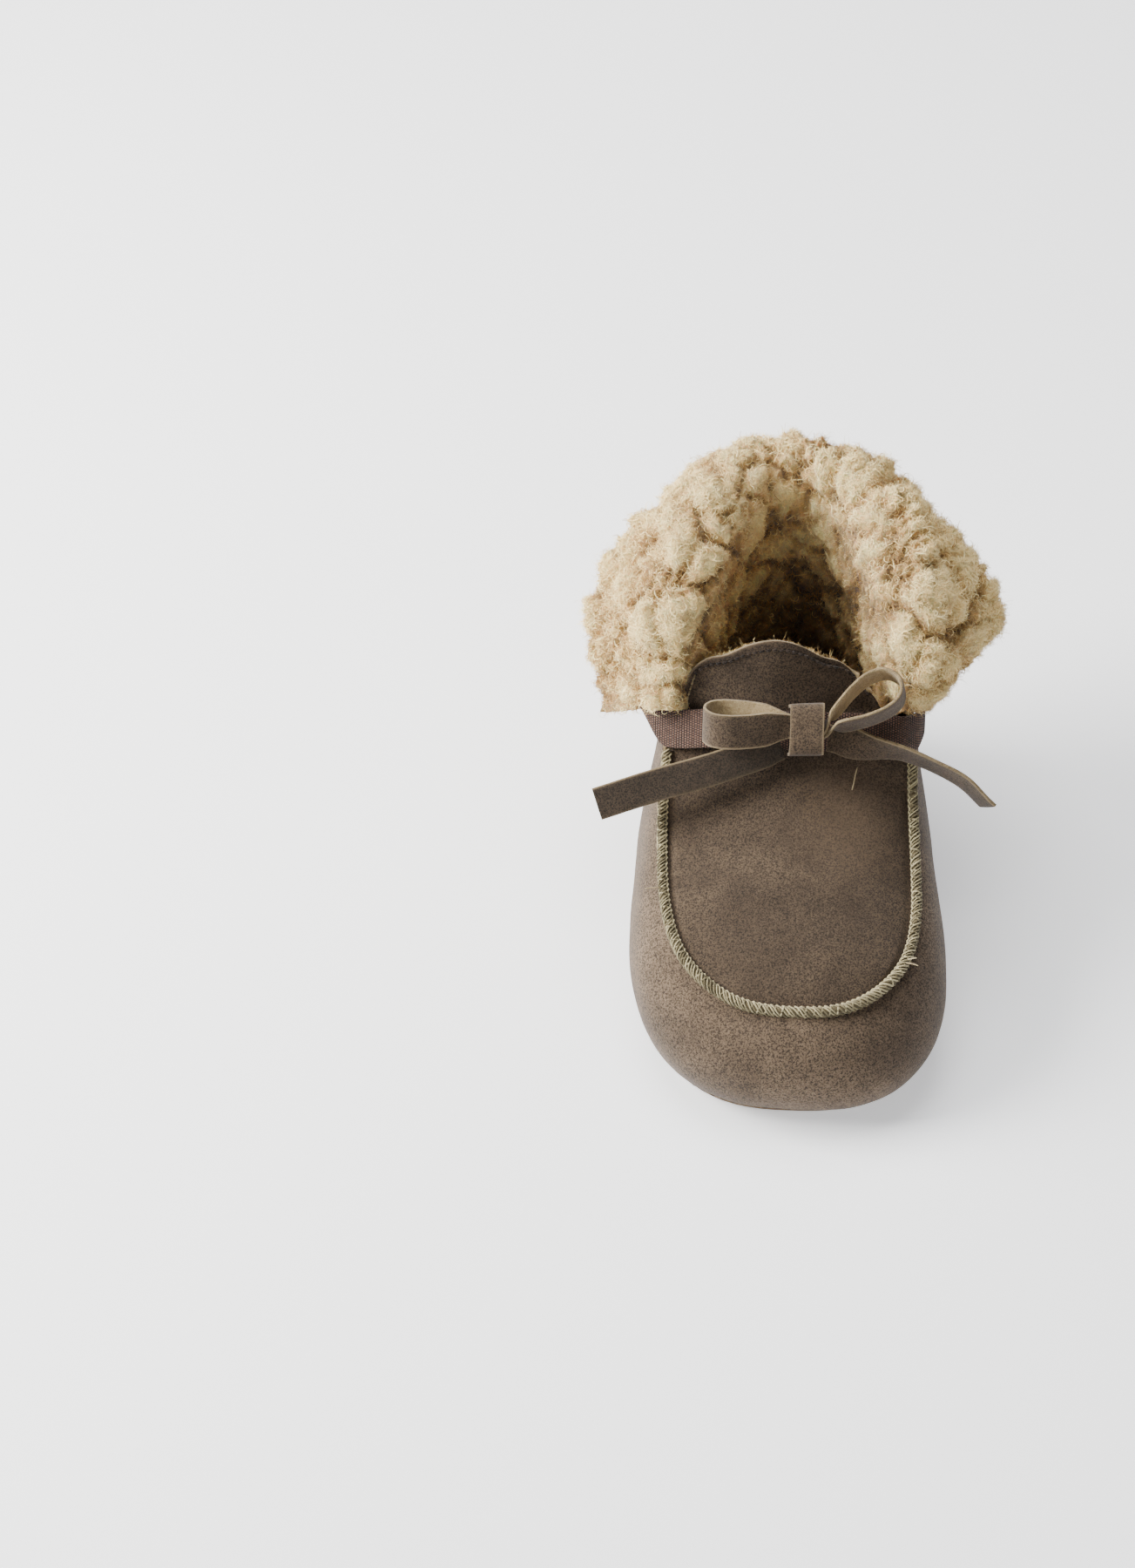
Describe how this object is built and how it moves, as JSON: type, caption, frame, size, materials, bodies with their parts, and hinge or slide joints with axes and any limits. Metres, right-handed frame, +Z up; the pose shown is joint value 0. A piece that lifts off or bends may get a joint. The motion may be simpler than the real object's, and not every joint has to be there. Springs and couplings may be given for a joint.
{
  "type": "baby bootie",
  "caption": "Soft moccasin-style baby bootie with a folded fleece cuff, a tongue and a bow on an elastic strap.",
  "frame": {"origin": "centre of the sole's ground face, half way between toe and heel", "axes": "+Z up; +Y from toe to heel; +X to the right looking from the toe towards the heel"},
  "size_m": [0.0878, 0.1309, 0.0873],
  "materials": {
    "sole": "plain beige suede sole, matt",
    "foam": "soft foam padding",
    "fleece": "cream sherpa fleece with curly clumps",
    "leather": "taupe nubuck-look leather, fine speckled grain, matt",
    "ribbon": "taupe suede ribbon with pale raw edges",
    "overlock": "khaki overlocked thread",
    "elastic": "mauve-brown ribbed elastic",
    "thread": "dark sewing thread"
  },
  "bodies": {
    "boot": {"outsole": "sole", "midsole_foam": "foam", "insole_fleece": "fleece", "side_wrap": "leather", "side_lining": "fleece", "sole_stitching": "thread", "heel_seam": "thread", "apron": "leather", "apron_lining": "fleece", "apron_seam": "overlock", "cuff_backing": "leather", "cuff_fleece": "fleece", "elastic_strap": "elastic", "strap_tack_left": "thread", "strap_tack_right": "thread"},
    "tongue_flap": {"tongue": "leather", "tongue_lining": "fleece", "tongue_stitching": "thread"},
    "bow": {"bow_knot": "ribbon", "bow_loop_left": "ribbon", "bow_loop_right": "ribbon", "bow_tack": "thread"},
    "tail_left": {"bow_tail_left": "ribbon"},
    "tail_right": {"bow_tail_right": "ribbon"}
  },
  "joints": [
    {"name": "tongue_flex", "type": "hinge", "parent": "boot", "child": "tongue_flap", "pos_m": [0, 0.0036, 0.0512], "axis": [1, 0, 0], "range_deg": [0, 25], "stiffness_Nm_per_rad": 0.01},
    {"name": "bow_lift", "type": "slide", "parent": "boot", "child": "bow", "axis": [0, -0.7071, 0.7071], "range_m": [0, 0.0105], "stiffness_N_per_m": 0.5, "deforming": ["elastic_strap"]},
    {"name": "tail_left_swing", "type": "hinge", "parent": "bow", "child": "tail_left", "pos_m": [-0.0015, -0.0021, 0.0521], "axis": [0, 0.7071, 0.7071], "range_deg": [-3, 6], "stiffness_Nm_per_rad": 0.003},
    {"name": "tail_right_swing", "type": "hinge", "parent": "bow", "child": "tail_right", "pos_m": [0.0075, -0.001, 0.0538], "axis": [0, -0.7071, -0.7071], "range_deg": [-3, 18], "stiffness_Nm_per_rad": 0.003}
  ],
  "couplings": [
    {"joint": "bow_lift", "follows": "tongue_flex", "m_per_rad": 0.0235}
  ]
}
